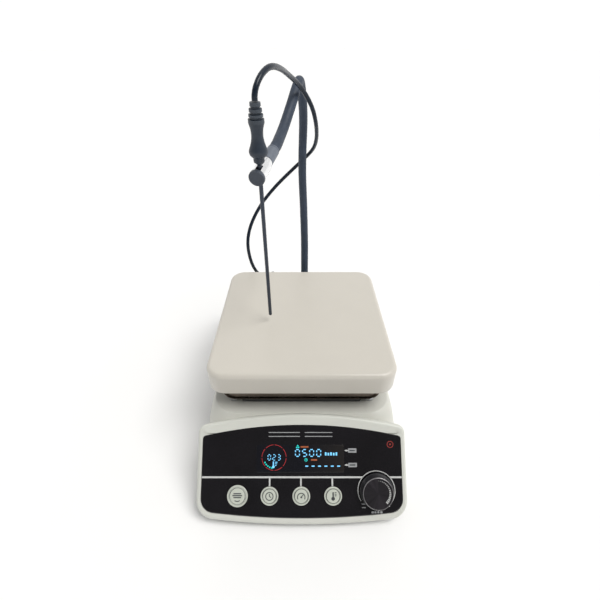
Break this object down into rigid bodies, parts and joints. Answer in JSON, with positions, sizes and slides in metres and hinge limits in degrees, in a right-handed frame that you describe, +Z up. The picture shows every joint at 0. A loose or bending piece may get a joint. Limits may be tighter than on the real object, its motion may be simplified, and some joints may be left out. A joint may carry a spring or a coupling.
{
  "type": "magnetic stirrer",
  "caption": "Hotplate magnetic stirrer: square plate on a casing with sloped panel, push keys, dial and display, and a gooseneck arm holding a temperature probe.",
  "frame": {"origin": "middle of the footprint at table level (bounding box bottom centre without the probe's cable)", "axes": "+Z up, -Y towards the control panel, +X to the user's right"},
  "size_m": [0.2034, 0.3604, 0.3636],
  "materials": {
    "plate_enamel": "satin white ceramic coating",
    "casing": "off-white powder paint",
    "panel_black": "gloss black printed film",
    "window": "smoked window",
    "keys": "satin off-white",
    "knob_black": "satin black, spun face",
    "shield_steel": "polished steel, heat browned",
    "chrome": "polished",
    "sheath": "slate rubber sleeve",
    "clamp_black": "matt",
    "probe_rod": "dark coated",
    "probe_grip": "moulded, matt",
    "cable": "satin jacket",
    "feet": "matt",
    "zinc": "zinc plated",
    "holder": "machined",
    "magnet": "nickel plated",
    "fitting_black": "moulded",
    "board": "solder mask",
    "heater": "mica and wire",
    "fibre": "ceramic fibre"
  },
  "bodies": {
    "base": {"housing": "casing", "base_plate": "zinc", "foot_front_left": "feet", "foot_front_right": "feet", "foot_rear_left": "feet", "foot_rear_right": "feet", "spacer_front_left": "shield_steel", "spacer_front_right": "shield_steel", "spacer_rear_left": "shield_steel", "spacer_rear_right": "shield_steel", "insulating_frame": "fitting_black", "heat_shield": "shield_steel", "insulation_pad": "fibre", "heating_element": "heater", "hot_plate": "plate_enamel", "front_bezel": "casing", "panel_overlay": "panel_black", "display_window": "window", "display_module": "board", "control_board": "board", "collar_program": "keys", "collar_time": "keys", "collar_speed": "keys", "collar_temp": "keys", "switch_program": "fitting_black", "switch_time": "fitting_black", "switch_speed": "fitting_black", "switch_temp": "fitting_black", "encoder_body": "zinc", "motor": "zinc", "motor_bracket": "zinc", "power_board": "board", "mains_inlet": "fitting_black", "power_switch_body": "fitting_black", "fuse_holder": "fitting_black", "probe_socket": "chrome", "probe_plug": "probe_grip", "arm_nut": "chrome", "probe_cable_lower": "cable"},
    "rotor": {"motor_shaft": "zinc", "magnet_holder": "holder", "magnet_north": "magnet", "magnet_south": "magnet"},
    "key_program": {"button_program": "keys"},
    "key_time": {"button_time": "keys"},
    "key_speed": {"button_speed": "keys"},
    "key_temp": {"button_temp": "keys"},
    "encoder": {"encoder_plunger": "fitting_black"},
    "dial": {"knob": "knob_black", "encoder_shaft": "zinc"},
    "rocker": {"power_rocker": "fitting_black"},
    "arm": {"gooseneck": "sheath", "gooseneck_sleeve": "sheath", "clamp_body": "chrome"},
    "clamp_screw": {"clamp_knob": "clamp_black"},
    "probe": {"probe_rod": "probe_rod", "probe_handle": "probe_grip", "probe_cable_upper": "cable"}
  },
  "joints": [
    {"name": "rotor_spin", "type": "hinge", "parent": "base", "child": "rotor", "pos_m": [0, 0.01337, 0.098], "axis": [0, 0, 1], "continuous": true},
    {"name": "key_program_press", "type": "slide", "parent": "base", "child": "key_program", "axis": [0, 0.7071, -0.7071], "range_m": [0, 0.001], "stiffness_N_per_m": 200, "springref_m": -0.0008},
    {"name": "key_time_press", "type": "slide", "parent": "base", "child": "key_time", "axis": [0, 0.7071, -0.7071], "range_m": [0, 0.001], "stiffness_N_per_m": 200, "springref_m": -0.0008},
    {"name": "key_speed_press", "type": "slide", "parent": "base", "child": "key_speed", "axis": [0, 0.7071, -0.7071], "range_m": [0, 0.001], "stiffness_N_per_m": 200, "springref_m": -0.0008},
    {"name": "key_temp_press", "type": "slide", "parent": "base", "child": "key_temp", "axis": [0, 0.7071, -0.7071], "range_m": [0, 0.001], "stiffness_N_per_m": 200, "springref_m": -0.0008},
    {"name": "knob_press", "type": "slide", "parent": "base", "child": "encoder", "axis": [0, 0.7071, -0.7071], "range_m": [0, 0.0008], "stiffness_N_per_m": 600, "springref_m": -0.0008},
    {"name": "knob_turn", "type": "hinge", "parent": "encoder", "child": "dial", "pos_m": [0.0719, -0.13535, 0.02968], "axis": [0, -0.7071, 0.7071], "continuous": true},
    {"name": "power_rock", "type": "hinge", "parent": "base", "child": "rocker", "pos_m": [0.024, 0.14487, 0.036], "axis": [0, 0, 1], "range_deg": [0, 16]},
    {"name": "arm_swivel", "type": "hinge", "parent": "base", "child": "arm", "pos_m": [0.0047, 0.12537, 0.088], "axis": [0, 0, 1], "range_deg": [-45, 45], "deforming": ["probe_cable_upper", "probe_cable_lower"]},
    {"name": "clamp_knob_turn", "type": "hinge", "parent": "arm", "child": "clamp_screw", "pos_m": [-0.0361, -0.01747, 0.2892], "axis": [-0.2579, -0.9308, -0.2589], "range_deg": [0, 360]},
    {"name": "probe_slide", "type": "slide", "parent": "arm", "child": "probe", "axis": [0.0029, -0.0798, 0.9968], "range_m": [0, 0.06], "deforming": ["probe_cable_upper"]}
  ]
}
